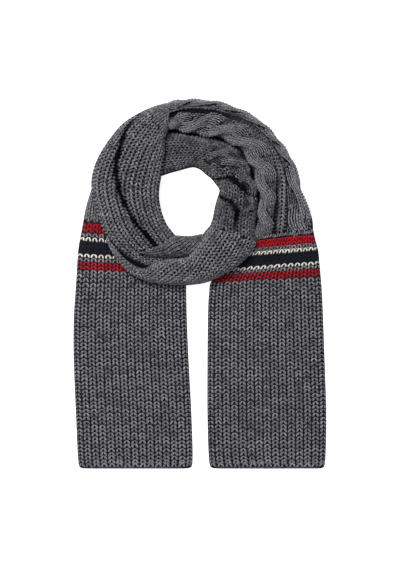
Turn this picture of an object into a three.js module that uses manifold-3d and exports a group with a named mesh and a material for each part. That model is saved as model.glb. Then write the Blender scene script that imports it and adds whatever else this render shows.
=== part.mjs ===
// Chunky knit scarf, wound once round and laid flat: millimetres, Z up, underside on Z = 0.
// One long panel makes it all. Seen from above it runs up from the right tail round the outside
// of the neck opening, over itself down the left side and along the front, then round the
// opening again on the inside and, hidden, down to the left tail.
// Each stretch that shows is a closed solid, lofted through sections that cross the stretch.

import * as THREE from 'three';
import { mergeVertices } from 'three/addons/utils/BufferGeometryUtils.js';
import Module from 'manifold-3d';

const wasm = await Module();
wasm.setup();

// Driving sizes
const seamGap = 0.3;            // clear space between neighbouring stretches
const ribDepth = 2.2;           // valley to crest of one knit rib
const fineRibDepth = 1.6;       // the same where the ribs are squeezed together
const ropeHeight = 4;           // how far a cable stands above the cloth beside it
const scallop = 3.5;            // how far a cable pushes the outer edge out between its crossings
const creaseWidth = 6;          // half width of a fold's trough
const layerDepth = 1.6;         // depth of the line between two cloth layers at an edge
const layerWidth = 2;           // half width of that line
const footHeight = 4;           // height over which the ribs grow out above the underside
const tailRoundness = 5;        // superellipse exponent of a flat tail
const strandRoundness = 2.5;    // superellipse exponent of a gathered stretch
const facetError = 0.25;        // how far flat facets may cut inside a curved form
const envelopeColumns = 40;     // facets across the plain form that cuts a neighbour
const sectionSpacing = 25;      // usual distance between two sections, along a stretch
const archSteps = 120;          // fine steps that measure the length of a section's arch

const grey = { color: 0x5c5d63, roughness: 0.95, metalness: 0 };

// Each row is one section across a stretch. outer and inner are the two edges of the cloth,
// seen from above. crown is the height of the arch over base, the level it rests on.
// ribs counts the knit ribs across, and turns counts the cable crossings so far.
const sectionColumns = ['outerX', 'outerY', 'innerX', 'innerY', 'crown', 'base', 'ribs', 'turns'];

const leftTailSections = [
  [-206, -322, -21, -322, 6, 0, 15, 0],
  [-212, -310, -14, -310, 7, 0, 15, 0],
  [-216, -229, -16, -229, 7, 0, 15, 0],
  [-220, -133, -21, -133, 7, 0, 15, 0],
  [-220, -63, -24, -63, 7, 0, 15, 0],
  [-217, -14, -25, -14, 7, 0, 15, 0],
  [-215, 16, -26, 9, 7, 0, 15, 0],
  [-212, 60, -35, 49, 7, 0, 15, 0],
  [-206, 94, -49, 77, 8, 0, 15, 0],
  [-198, 136, -66, 100, 12, 0, 15, 0],
  [-186, 175, -75, 124, 17, 0, 15, 0],
];

const rightTailSections = [
  [212, -322, 24, -322, 6, 0, 15, 0],
  [218, -310, 17, -310, 7, 0, 15, 0],
  [220, -229, 14, -229, 7, 0, 15, 0],
  [217, -133, 14, -133, 7, 0, 15, 0],
  [214, -49, 15, -49, 7, 0, 15, 0],
  [212, -9, 17, -14, 7, 0, 15, 0],
  [210, 16, 21, 5, 7, 0, 15, 0],
  [208, 37, 38, 24, 7, 0, 15, 0],
  [206, 58, 56, 46, 8, 0, 15, 0],
  [201, 77, 72, 65, 10, 0, 15, 0],
  [197, 95, 88, 80, 14, 0, 15, 0],
];

const outerTurnSections = [
  [197, 95, 88, 80, 15, 0, 6, 0],
  [192, 114, 94, 98, 21, 0, 6, 0.4],
  [185, 136, 101, 126, 25, 0, 6, 0.75],
  [175, 164, 102, 149, 27, 0, 6, 1],
  [169, 187, 97, 175, 27, 0, 6, 1.5],
  [158, 217, 88, 203, 27, 0, 6, 2],
  [137, 248, 74, 229, 27, 0, 6, 3],
  [110, 278, 51, 246, 27, 0, 6, 4],
  [88, 293, 30, 254, 27, 0, 6, 4.5],
  [66, 304, 10, 257, 27, 0, 6, 5],
  [44, 312, -4, 259, 27, 0, 6, 5.5],
  [21, 317, -18, 262, 28, 0, 6, 6],
  [-2, 319, -30, 265, 29, 0, 6, 6.5],
  [-23, 319, -40, 267, 31, 0, 6, 7],
  [-40, 318, -49, 267, 33, 0, 6, 7.5],
  [-60, 315, -56, 267, 36, 0, 6, 8],
];

const leftTurnSections = [
  [-60, 315, -56, 267, 30, 7, 9, 0],
  [-84, 307, -59, 256, 26, 14, 9, 0],
  [-110, 294, -60, 242, 24, 18, 9, 0],
  [-135, 277, -61, 224, 24, 19, 9, 0],
  [-156, 252, -65, 206, 24, 19, 9, 0],
  [-172, 228, -68, 187, 24, 19, 9, 0],
  [-183, 203, -71, 170, 24, 19, 9, 0],
  [-188, 178, -72, 152, 24, 19, 9, 0],
  [-186, 154, -70, 136, 24, 18, 9, 0],
  [-180, 130, -66, 120, 24, 15, 9, 0],
  [-172, 103, -59, 104, 23, 12, 9, 0],
  [-160, 80, -51, 93, 21, 10, 9, 0],
  [-145, 60, -42, 82, 17, 9, 9, 0],
  [-126, 44, -35, 72, 14, 8, 9, 0],
  [-103, 32, -28, 60, 12, 8, 9, 0],
  [-79, 24, -21, 47, 11, 8, 9, 0],
  [-58, 22, -14, 38, 10, 8, 9, 0],
];

const tongueSections = [
  [-106, 53, -106, 56.5, 19, 6, 7, 0],
  [-94, 49, -94, 60, 26, 6, 7, 0],
  [-77, 46, -80, 64, 30, 4, 7, 0],
  [-58, 45, -64, 72, 34, 0, 7, 0],
  [-40, 44, -50, 83, 34, 0, 7, 0],
  [-26, 44, -38, 84, 33, 0, 7, 0],
  [-14, 47, -24, 83, 31, 0, 7, 0],
  [-2, 52, -10, 84, 28, 0, 7, 0],
  [11, 60, 4, 87, 25, 0, 7, 0],
];

const frontTurnSections = [
  [-165, 82, -144, 62, 20, 9, 2.6, 0],
  [-154, 56, -135, 49, 25, 8, 2.8, 0],
  [-138, 34, -123, 38, 27, 7.5, 3, 0],
  [-117, 15, -108, 29, 29, 7.5, 3, 0],
  [-93, 5, -93, 28, 32, 7.5, 3.2, 0],
  [-70, 0, -74, 40, 33, 7.5, 4.2, 0],
  [-44, -2, -49, 44, 34, 7.5, 5, 0],
  [-18, -1, -24, 48, 35, 7.5, 6.4, 0],
  [9, 3, -12, 61, 36, 7.5, 8, 0],
  [35, 13, -5, 71, 36, 7.5, 9.3, 0],
  [61, 28, 2, 80, 35, 7.5, 10, 0],
  [83, 47, 9, 91, 34, 6, 10.5, 0],
  [100, 71, 18, 101, 33, 3, 10.5, 0],
];

const innerTurnSections = [
  [100, 71, 18, 101, 36, 0, 10.5, 0],
  [97, 98, 23, 114, 34, 0, 10.5, 0.5],
  [101, 126, 26, 130, 32, 0, 10, 1],
  [102, 147, 29, 143, 31, 0, 9, 1.5],
  [100, 164, 33, 155, 31, 0, 8, 2],
  [94, 182, 35, 165, 30, 0, 8, 2.5],
  [88, 203, 29, 174, 29, 0, 8, 3],
  [74, 229, 20, 185, 28, 0, 8, 3.5],
  [56, 243, 11, 192, 27, 0, 8, 4],
  [33, 252, 2, 200, 26, 0, 8, 4.5],
  [10, 257, -10, 205, 25, 0, 8, 5],
  [-14, 261, -23, 203, 24, 0, 8, 5.5],
  [-33, 265, -37, 199, 23, 0, 8, 6],
  [-52, 267, -52, 195, 21, 0, 8, 6.5],
  [-75, 266, -70, 189, 18, 0, 8, 7],
];

const underTurnSections = [
  [-75, 266, -70, 189, 18, 0, 1, 0],
  [-103, 266, -74, 177, 18, 0, 1, 0],
  [-135, 256, -77, 164, 18, 0, 1, 0],
  [-161, 233, -78, 150, 18, 0, 1, 0],
  [-178, 203, -77, 136, 18, 0, 1, 0],
  [-186, 175, -75, 124, 17, 0, 1, 0],
];

// Each crease is a trough along a stretch: the section it passes, its place across the stretch
// from 0 at the outer edge to 1 at the inner edge, and its depth there.
const creaseColumns = ['section', 'across', 'depth'];

const ladderCrease = [
  [4, 0.36, 2],
  [6, 0.33, 6],
  [8, 0.3, 9],
  [12, 0.34, 11],
  [14, 0.43, 9],
  [15, 0.47, 3],
];

const gutterCrease = [
  [0, 0.6, 5],
  [1, 0.6, 7],
  [2, 0.58, 7],
  [4, 0.46, 3],
];

const leftTurnCrease = [
  [1.5, 0.1, 0],
  [3, 0.2, 7],
  [4, 0.27, 10],
  [5, 0.31, 12],
  [7, 0.42, 12],
  [9, 0.49, 11],
  [11, 0.58, 8],
  [13, 0.6, 4],
];

const upperInnerCrease = [
  [3, 0.22, 2],
  [3.6, 0.34, 7],
  [5, 0.48, 12],
  [6, 0.58, 12],
  [6.7, 0.9, 7],
  [7.2, 1, 2],
];

const lowerInnerCrease = [
  [1, 0.49, 3],
  [2, 0.49, 8],
  [3, 0.62, 10],
  [4, 0.93, 7],
  [4.4, 1, 2],
];

// A cable lane is a band of the cloth that holds one rope cable.
const laneColumns = ['section', 'from', 'to'];

const edgeCableLane = [
  [0, 0, 0.44],
  [2, 0, 0.42],
  [4, 0, 0.33],
  [6, 0, 0.29],
  [10, 0, 0.26],
  [12, 0, 0.3],
  [15, 0, 0.43],
];

const mainCableLane = [
  [0, 0.63, 1],
  [2, 0.61, 1],
  [4, 0.49, 1],
  [6, 0.38, 1],
  [10, 0.34, 1],
  [12, 0.38, 1],
  [15, 0.52, 1],
];

const innerCableLane = [
  [2, 0.3, 0.3],
  [3, 0.15, 0.4],
  [5, 0.08, 0.44],
  [6, 0.1, 0.5],
  [8, 0.2, 0.62],
  [9, 0.3, 0.7],
  [10, 0.5, 0.5],
];

function named(columns, rows) {
  return rows.map((row) => Object.fromEntries(columns.map((name, i) => [name, row[i]])));
}

function mix(a, b, f) {
  return a + (b - a) * f;
}

function smooth(f) {
  const t = Math.min(1, Math.max(0, f));
  return t * t * (3 - 2 * t);
}

// The value of one column at a place between two rows, on a smooth curve through all the rows.
// Past either end it goes on in a straight line.
function along(rows, name, place) {
  const last = rows.length - 1;
  if (place <= 0) {
    return rows[0][name] + (rows[1][name] - rows[0][name]) * place;
  }
  if (place >= last) {
    return rows[last][name] + (rows[last][name] - rows[last - 1][name]) * (place - last);
  }
  const i = Math.floor(place);
  const f = place - i;
  const b = rows[i][name];
  const c = rows[i + 1][name];
  const a = i > 0 ? rows[i - 1][name] : 2 * b - c;
  const d = i + 2 <= last ? rows[i + 2][name] : 2 * c - b;
  const bend = 2 * a - 5 * b + 4 * c - d + f * (3 * (b - c) + d - a);
  return b + 0.5 * f * (c - a + f * bend);
}

// The value of one column at a section, in straight lines between the rows of a short table.
function lookUp(rows, name, section) {
  const sorted = [...rows].sort((p, q) => p.section - q.section);
  if (section <= sorted[0].section) {
    return sorted[0][name];
  }
  for (let i = 1; i < sorted.length; i += 1) {
    if (section <= sorted[i].section) {
      const f = (section - sorted[i - 1].section) / (sorted[i].section - sorted[i - 1].section);
      return mix(sorted[i - 1][name], sorted[i][name], f);
    }
  }
  return sorted[sorted.length - 1][name];
}

// Points at even distances over a superellipse arch, from the outer foot to the inner foot,
// each with its place across from -1 to 1, its height from 0 to 1 and its outward direction.
function arch(halfWidth, crown, roundness, count) {
  const fine = [];
  for (let i = 0; i <= archSteps; i += 1) {
    const angle = (Math.PI * i) / archSteps;
    const c = Math.cos(angle);
    const s = Math.max(0, Math.sin(angle));
    fine.push({ across: -Math.sign(c) * Math.abs(c) ** (2 / roundness), up: s ** (2 / roundness) });
  }
  fine[0].length = 0;
  for (let i = 1; i <= archSteps; i += 1) {
    const dx = (fine[i].across - fine[i - 1].across) * halfWidth;
    const dz = (fine[i].up - fine[i - 1].up) * crown;
    fine[i].length = fine[i - 1].length + Math.hypot(dx, dz);
  }
  const whole = fine[archSteps].length;
  const points = [];
  let k = 1;
  for (let j = 0; j <= count; j += 1) {
    const target = (whole * j) / count;
    while (k < archSteps && fine[k].length < target) {
      k += 1;
    }
    const f = (target - fine[k - 1].length) / Math.max(1e-9, fine[k].length - fine[k - 1].length);
    const dx = (fine[k].across - fine[k - 1].across) * halfWidth;
    const dz = (fine[k].up - fine[k - 1].up) * crown;
    const step = Math.hypot(dx, dz);
    points.push({
      across: mix(fine[k - 1].across, fine[k].across, f),
      up: mix(fine[k - 1].up, fine[k].up, f),
      outAcross: -dz / step,
      outUp: dx / step,
      share: j / count,
    });
  }
  return points;
}

// How far the cloth stands in or out at one point of a section, with every rib, cable,
// crease and layer line counted.
function reliefAt(stretch, place, section, point) {
  let relief = -stretch.ribDepth * (0.5 + 0.5 * Math.cos(2 * Math.PI * section.ribs * point.share));
  for (const lane of stretch.lanes) {
    const from = lookUp(lane, 'from', place);
    const to = lookUp(lane, 'to', place);
    const inside = (point.share - from) / Math.max(1e-6, to - from);
    if (inside > 0 && inside < 1) {
      const roundTop = Math.sin(Math.PI * inside);
      const slant = Math.cos(2 * Math.PI * section.turns - 2 * Math.PI * (inside - 0.5));
      relief = ropeHeight * roundTop * (0.6 + 0.4 * slant) - stretch.ribDepth;
    }
  }
  return relief;
}

function creaseAt(stretch, place, point, archLength) {
  let depth = 0;
  for (const crease of stretch.creases) {
    const places = crease.map((row) => row.section);
    const end = Math.max(Math.min(...places) - place, place - Math.max(...places));
    const fade = smooth(1 - end);
    const offset = (point.share - lookUp(crease, 'across', place)) * archLength;
    depth += lookUp(crease, 'depth', place) * fade * Math.exp(-((offset / creaseWidth) ** 2));
  }
  return depth;
}

// One ring of points across a stretch: over the arch, with the flat underside left to close it.
// With swell above 0 the ring is the plain form, grown by that much, that a neighbour is cut by.
function ringAt(stretch, place, count, swell) {
  const section = Object.fromEntries(
    sectionColumns.map((name) => [name, along(stretch.rows, name, place)]),
  );
  const outer = new THREE.Vector2(section.outerX, section.outerY);
  const inner = new THREE.Vector2(section.innerX, section.innerY);
  const middle = outer.clone().add(inner).multiplyScalar(0.5);
  const across = inner.clone().sub(outer).normalize();
  const bulge = stretch.scallop * Math.abs(Math.sin(Math.PI * section.turns));
  const halfWidth = outer.distanceTo(inner) / 2 + swell;
  const crown = section.crown + swell;
  const points = arch(halfWidth, crown, stretch.roundness, count);
  const archLength = 2 * halfWidth + crown;
  return points.map((point) => {
    const lift = point.up * crown;
    const low = smooth(lift / footHeight);
    const relief = swell > 0 ? 0 : reliefAt(stretch, place, section, point) * low;
    const trough = swell > 0 ? 0 : creaseAt(stretch, place, point, archLength) * point.up;
    const layerPlace = (point.up - stretch.layerLevel) * crown;
    const side = Math.abs(point.outAcross) ** 2;
    const layer = swell > 0 ? 0 : stretch.layerDepth * side * Math.exp(-((layerPlace / layerWidth) ** 2));
    const outward = relief - layer;
    const edgePush = bulge * Math.max(0, -point.across) ** 3;
    const sideways = point.across * halfWidth + point.outAcross * outward - edgePush;
    const height = section.base + Math.max(0, lift + point.outUp * outward - trough);
    return new THREE.Vector3(
      middle.x + across.x * sideways,
      middle.y + across.y * sideways,
      height - (swell > 0 ? stretch.sink * (1 - smooth(point.up * 20)) : 0),
    );
  });
}

// Cuts an end face into triangles, ear by ear, and keeps every point of its edge.
function endFace(ring, start, turned) {
  const foot = new THREE.Vector2(ring[0].x, ring[0].y);
  const axis = new THREE.Vector2(ring.at(-1).x, ring.at(-1).y).sub(foot).normalize();
  const flat = ring.map((p) => new THREE.Vector2(new THREE.Vector2(p.x, p.y).sub(foot).dot(axis), p.z));
  const turn = (a, b, c) => (b.x - a.x) * (c.y - a.y) - (b.y - a.y) * (c.x - a.x);
  const sign = THREE.ShapeUtils.area(flat) > 0 ? 1 : -1;
  const left = flat.map((_, i) => i);
  const triangles = [];
  while (left.length > 2) {
    let best = null;
    for (let k = 0; k < left.length; k += 1) {
      const ids = [left.at(k - 1), left[k], left[(k + 1) % left.length]];
      const [a, b, c] = ids.map((id) => flat[id]);
      const area = sign * turn(a, b, c);
      const blocked = left.some((id) => !ids.includes(id)
        && sign * turn(a, b, flat[id]) > -1e-9
        && sign * turn(b, c, flat[id]) > -1e-9
        && sign * turn(c, a, flat[id]) > -1e-9);
      const quality = area / (a.distanceToSquared(b) + b.distanceToSquared(c) + c.distanceToSquared(a));
      if (!blocked && (best === null || quality > best.quality)) {
        best = { k, ids, quality };
      }
    }
    const { k, ids } = best ?? { k: 1, ids: [left[0], left[1], left[2]] };
    triangles.push((sign > 0) === turned ? ids.map((id) => start + id) : ids.map((id) => start + id).reverse());
    left.splice(k, 1);
  }
  return triangles;
}

// A closed mesh through rings: sides, flat underside and an end face at each end.
function loft(rings) {
  const size = rings[0].length;
  const positions = rings.flat().flatMap((p) => [p.x, p.y, p.z]);
  const triangles = [];
  for (let i = 0; i + 1 < rings.length; i += 1) {
    for (let j = 0; j < size; j += 1) {
      const next = (j + 1) % size;
      const a = i * size + j;
      const b = i * size + next;
      const c = (i + 1) * size + next;
      const d = (i + 1) * size + j;
      triangles.push([a, b, c], [a, c, d]);
    }
  }
  triangles.push(...endFace(rings[0], 0, true));
  triangles.push(...endFace(rings.at(-1), (rings.length - 1) * size, false));
  const geometry = new THREE.BufferGeometry();
  geometry.setAttribute('position', new THREE.Float32BufferAttribute(positions, 3));
  geometry.setIndex(triangles.flat());
  return outwards(geometry);
}

// Turns every face round if the mesh is inside out.
function outwards(geometry) {
  const p = geometry.attributes.position;
  const index = geometry.index.array;
  const corner = (k) => new THREE.Vector3().fromBufferAttribute(p, index[k]);
  let volume = 0;
  for (let t = 0; t < index.length; t += 3) {
    volume += corner(t).dot(corner(t + 1).cross(corner(t + 2)));
  }
  if (volume < 0) {
    for (let t = 0; t < index.length; t += 3) {
      [index[t + 1], index[t + 2]] = [index[t + 2], index[t + 1]];
    }
  }
  return geometry;
}

function solidOf(geometry) {
  const bare = mergeVertices(geometry, 1e-4);
  return new wasm.Manifold(new wasm.Mesh({
    numProp: 3,
    vertProperties: Float32Array.from(bare.attributes.position.array),
    triVerts: Uint32Array.from(bare.index.array),
  }));
}

function stretchOf(sections, options) {
  return {
    rows: named(sectionColumns, sections),
    roundness: strandRoundness,
    ribDepth,
    layerDepth,
    layerLevel: 0.45,
    scallop: 0,
    creases: [],
    lanes: [],
    sink: 3,
    columnsAcross: 40,
    stepsPerSection: 2,
    ...options,
  };
}

function solidStretch(stretch) {
  const steps = (stretch.rows.length - 1) * stretch.stepsPerSection;
  const rings = [];
  for (let i = 0; i <= steps; i += 1) {
    rings.push(ringAt(stretch, i / stretch.stepsPerSection, stretch.columnsAcross, 0));
  }
  return solidOf(loft(rings));
}

// The plain form of a stretch, larger by a little all round, that its neighbours are cut by.
function envelopeOf(stretch) {
  const proud = stretch.lanes.length > 0 ? ropeHeight - stretch.ribDepth : 0;
  const last = stretch.rows.length - 1;
  const end = seamGap / sectionSpacing;
  const steps = last * stretch.stepsPerSection;
  const rings = [];
  for (let i = 0; i <= steps; i += 1) {
    const place = mix(-end, last + end, i / steps);
    rings.push(ringAt(stretch, place, envelopeColumns, seamGap + facetError + proud));
  }
  return solidOf(loft(rings));
}

const leftTail = stretchOf(leftTailSections, {
  roundness: tailRoundness,
  layerDepth: 0,
  columnsAcross: 58,
  stepsPerSection: 1,
});
const rightTail = stretchOf(rightTailSections, {
  roundness: tailRoundness,
  layerDepth: 0,
  columnsAcross: 62,
  stepsPerSection: 1,
});
const outerTurn = stretchOf(outerTurnSections, {
  scallop,
  creases: [named(creaseColumns, ladderCrease), named(creaseColumns, gutterCrease)],
  lanes: [named(laneColumns, edgeCableLane), named(laneColumns, mainCableLane)],
  columnsAcross: 28,
  stepsPerSection: 3,
});
const underTurn = stretchOf(underTurnSections, { ribDepth: 0, columnsAcross: 16 });
const innerTurn = stretchOf(innerTurnSections, {
  ribDepth: fineRibDepth,
  creases: [named(creaseColumns, upperInnerCrease), named(creaseColumns, lowerInnerCrease)],
  lanes: [named(laneColumns, innerCableLane)],
  columnsAcross: 34,
  stepsPerSection: 2,
});
const leftTurn = stretchOf(leftTurnSections, {
  creases: [named(creaseColumns, leftTurnCrease)],
  columnsAcross: 36,
  stepsPerSection: 1,
});
const tongue = stretchOf(tongueSections, {
  ribDepth: fineRibDepth,
  columnsAcross: 28,
  stepsPerSection: 1,
});
const frontTurn = stretchOf(frontTurnSections, {
  ribDepth: fineRibDepth,
  columnsAcross: 42,
  stepsPerSection: 2,
});

// The stretches in the order they lie, each cut back to clear what is under it or beside it.
const stretches = {
  left_tail: { stretch: leftTail, clears: [] },
  right_tail: { stretch: rightTail, clears: [] },
  outer_turn: { stretch: outerTurn, clears: ['right_tail'] },
  under_turn: { stretch: underTurn, clears: ['left_tail'] },
  inner_turn: { stretch: innerTurn, clears: ['under_turn', 'outer_turn', 'right_tail'] },
  left_turn: { stretch: leftTurn, clears: ['outer_turn', 'under_turn', 'inner_turn', 'left_tail'] },
  tongue: { stretch: tongue, clears: ['left_turn', 'left_tail'] },
  front_turn: {
    stretch: frontTurn,
    clears: ['left_turn', 'tongue', 'inner_turn', 'outer_turn', 'left_tail', 'right_tail'],
  },
};

function largestPiece(solid) {
  return solid.decompose().sort((a, b) => b.volume() - a.volume())[0];
}

function meshOf(name, solid) {
  const mesh = solid.getMesh();
  const geometry = new THREE.BufferGeometry();
  geometry.setAttribute('position', new THREE.BufferAttribute(mesh.vertProperties, 3));
  geometry.setIndex(new THREE.BufferAttribute(mesh.triVerts, 1));
  geometry.computeVertexNormals();
  const object = new THREE.Mesh(geometry, new THREE.MeshStandardMaterial(grey));
  object.name = name;
  return object;
}

const scarf = new THREE.Group();
scarf.name = 'knit_scarf';
for (const [name, { stretch, clears }] of Object.entries(stretches)) {
  let solid = solidStretch(stretch);
  for (const other of clears) {
    solid = solid.subtract(envelopeOf(stretches[other].stretch));
  }
  scarf.add(meshOf(name, largestPiece(solid)));
}

export default scarf;
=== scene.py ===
# %% [markdown]
# # A chunky knit scarf, wound once and laid flat
#
# The real thing is one long knitted panel: wide ribs at both ends, a band of colour, and cables in
# the middle. Here it is rebuilt in the order a knitter sees it: first the cloth as a soft shell for
# each stretch that shows, then the yarn itself, stitch by stitch, laid along ribs and cables.
# The frame gives the solids that the finished pieces stand in for.

# %% Load the frame
import math

import bpy
import numpy as np
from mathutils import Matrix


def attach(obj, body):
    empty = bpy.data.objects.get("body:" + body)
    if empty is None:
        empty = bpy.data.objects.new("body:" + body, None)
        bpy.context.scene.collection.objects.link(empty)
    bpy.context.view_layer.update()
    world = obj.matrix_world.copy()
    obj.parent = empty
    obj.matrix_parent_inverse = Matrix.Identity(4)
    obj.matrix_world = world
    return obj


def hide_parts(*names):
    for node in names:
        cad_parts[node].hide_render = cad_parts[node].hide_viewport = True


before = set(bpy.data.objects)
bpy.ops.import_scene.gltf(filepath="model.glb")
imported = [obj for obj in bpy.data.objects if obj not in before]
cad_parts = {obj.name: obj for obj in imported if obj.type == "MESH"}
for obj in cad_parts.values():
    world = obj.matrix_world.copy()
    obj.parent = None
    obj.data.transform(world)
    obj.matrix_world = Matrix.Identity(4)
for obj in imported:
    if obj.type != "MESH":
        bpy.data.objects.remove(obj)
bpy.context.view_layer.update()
MM = 0.001

# %% [markdown]
# ## Camera, floor and light
#
# The picture is a flat lay, so the camera looks straight down. A long lens keeps the thick wound
# part from looking larger than the thin tails. The floor is a plain pale sheet, and the light is a
# large soft panel from the upper left with a weak one opposite, which lets the gaps between the
# stitches go dark without casting a hard shadow.

# %% Camera
PICTURE_ROWS = 570
MM_PER_PIXEL = 1.75
VIEW_MIDDLE_Y = -1.75
LENS = 100.0
SENSOR = 36.0

camera_data = bpy.data.cameras.new("camera")
camera_data.lens = LENS
camera_data.sensor_width = SENSOR
camera = bpy.data.objects.new("camera", camera_data)
bpy.context.collection.objects.link(camera)
camera_height = PICTURE_ROWS * MM_PER_PIXEL * MM * LENS / SENSOR
camera.location = (0.0, VIEW_MIDDLE_Y * MM, camera_height)
bpy.context.scene.camera = camera
print("camera", round(camera_height, 3), "m above the floor")

# %% Floor
FLOOR_SIZE = 12.0
FLOOR_DROP = 0.6
PAPER_TONE = 0.5
PAPER_GLOW = 0.82
PAPER_ROUGHNESS = 0.9

bpy.ops.object.select_all(action="DESELECT")
bpy.ops.mesh.primitive_plane_add(size=FLOOR_SIZE, location=(0, 0, -FLOOR_DROP * MM))
floor = bpy.context.object
floor.name = "floor"
paper = bpy.data.materials.new("paper")
paper.use_nodes = True
paper_shader = paper.node_tree.nodes["Principled BSDF"]
paper_shader.inputs["Base Color"].default_value = (PAPER_TONE, PAPER_TONE, PAPER_TONE, 1)
paper_shader.inputs["Roughness"].default_value = PAPER_ROUGHNESS
paper_shader.inputs["Emission Color"].default_value = (1, 1, 1, 1)
paper_shader.inputs["Emission Strength"].default_value = PAPER_GLOW
floor.data.materials.append(paper)
print("floor", FLOOR_SIZE, "m wide")

# %% Light
PANELS = [
    ("key_panel", (-1.2, 1.3, 2.6), 1.0, 104),
    ("fill_panel", (1.8, -1.2, 2.4), 2.0, 22),
]
ROOM_LIGHT = 0.3


def soft_panel(name, place, size, power):
    """A square area light that points at the middle of the scarf."""
    data = bpy.data.lights.new(name, "AREA")
    data.size = size
    data.energy = power
    panel = bpy.data.objects.new(name, data)
    bpy.context.collection.objects.link(panel)
    panel.location = place
    reach = math.hypot(place[0], place[1])
    tilt = math.atan2(reach, place[2])
    panel.rotation_euler = (0, tilt, math.atan2(place[1], place[0]))
    print(name, size, "m wide,", power, "W")


for panel in PANELS:
    soft_panel(*panel)


world = bpy.data.worlds.new("studio")
world.use_nodes = True
world.node_tree.nodes["Background"].inputs["Color"].default_value = (1, 1, 1, 1)
world.node_tree.nodes["Background"].inputs["Strength"].default_value = ROOM_LIGHT
bpy.context.scene.world = world
bpy.context.scene.view_settings.view_transform = "Standard"

# %% [markdown]
# ## The shape of each stretch
#
# A gathered knit has no simple outline, so each stretch is described by a few sections across it.
# A section names the two edges of the cloth seen from above, the height of the arch between them,
# the level it rests on, and how many ribs cross it. Smooth curves run through the sections. The
# numbers are millimetres, the same as in the solids, so the cloth fills the space they hold.

# %% Sections
SECTION = ["outer_x", "outer_y", "inner_x", "inner_y", "crown", "base", "ribs", "turns"]

LEFT_TAIL = [
    [-206, -322, -21, -322, 6, 0, 15, 0],
    [-212, -310, -14, -310, 7, 0, 15, 0],
    [-216, -229, -16, -229, 7, 0, 15, 0],
    [-220, -133, -21, -133, 7, 0, 15, 0],
    [-220, -63, -24, -63, 7, 0, 15, 0],
    [-217, -14, -25, -14, 7, 0, 15, 0],
    [-215, 16, -26, 9, 7, 0, 15, 0],
    [-212, 60, -35, 49, 7, 0, 15, 0],
    [-206, 94, -49, 77, 8, 0, 15, 0],
    [-198, 136, -66, 100, 12, 0, 15, 0],
    [-186, 175, -75, 124, 17, 0, 15, 0],
]
RIGHT_TAIL = [
    [212, -322, 24, -322, 6, 0, 15, 0],
    [218, -310, 17, -310, 7, 0, 15, 0],
    [220, -229, 14, -229, 7, 0, 15, 0],
    [217, -133, 14, -133, 7, 0, 15, 0],
    [214, -49, 15, -49, 7, 0, 15, 0],
    [212, -9, 17, -14, 7, 0, 15, 0],
    [210, 16, 21, 5, 7, 0, 15, 0],
    [208, 37, 38, 24, 7, 0, 15, 0],
    [206, 58, 56, 46, 8, 0, 15, 0],
    [201, 77, 72, 65, 10, 0, 15, 0],
    [197, 95, 88, 80, 14, 0, 15, 0],
]
OUTER_TURN = [
    [197, 95, 88, 80, 15, 0, 6, 0],
    [192, 114, 94, 98, 21, 0, 6, 0.4],
    [185, 136, 101, 126, 25, 0, 6, 0.75],
    [175, 164, 102, 149, 27, 0, 6, 1],
    [169, 187, 97, 175, 27, 0, 6, 1.5],
    [158, 217, 88, 203, 27, 0, 6, 2],
    [137, 248, 74, 229, 27, 0, 6, 3],
    [110, 278, 51, 246, 27, 0, 6, 4],
    [88, 293, 30, 254, 27, 0, 6, 4.5],
    [66, 304, 10, 257, 27, 0, 6, 5],
    [44, 312, -4, 259, 27, 0, 6, 5.5],
    [21, 317, -18, 262, 28, 0, 6, 6],
    [-2, 319, -30, 265, 29, 0, 6, 6.5],
    [-23, 319, -40, 267, 31, 0, 6, 7],
    [-40, 318, -49, 267, 33, 0, 6, 7.5],
    [-60, 315, -56, 267, 36, 0, 6, 8],
]
LEFT_TURN = [
    [-60, 315, -56, 267, 30, 7, 9, 0],
    [-84, 307, -59, 256, 26, 14, 9, 0],
    [-110, 294, -60, 242, 24, 18, 9, 0],
    [-135, 277, -61, 224, 24, 19, 9, 0],
    [-156, 252, -65, 206, 24, 19, 9, 0],
    [-172, 228, -68, 187, 24, 19, 9, 0],
    [-183, 203, -71, 170, 24, 19, 9, 0],
    [-188, 178, -72, 152, 24, 19, 9, 0],
    [-186, 154, -70, 136, 24, 18, 9, 0],
    [-180, 130, -66, 120, 24, 15, 9, 0],
    [-172, 103, -59, 104, 23, 12, 9, 0],
    [-160, 80, -51, 93, 21, 10, 9, 0],
    [-145, 60, -42, 82, 17, 9, 9, 0],
    [-126, 44, -35, 72, 14, 8, 9, 0],
    [-103, 32, -28, 60, 12, 8, 9, 0],
    [-79, 24, -21, 47, 11, 8, 9, 0],
    [-58, 22, -14, 38, 10, 8, 9, 0],
]
TONGUE = [
    [-106, 53, -106, 56.5, 19, 6, 7, 0],
    [-94, 49, -94, 60, 26, 6, 7, 0],
    [-77, 46, -80, 64, 30, 4, 7, 0],
    [-58, 45, -64, 72, 34, 0, 7, 0],
    [-40, 44, -50, 83, 34, 0, 7, 0],
    [-26, 44, -38, 84, 33, 0, 7, 0],
    [-14, 47, -24, 83, 31, 0, 7, 0],
    [-2, 52, -10, 84, 28, 0, 7, 0],
    [11, 60, 4, 87, 25, 0, 7, 0],
]
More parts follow.
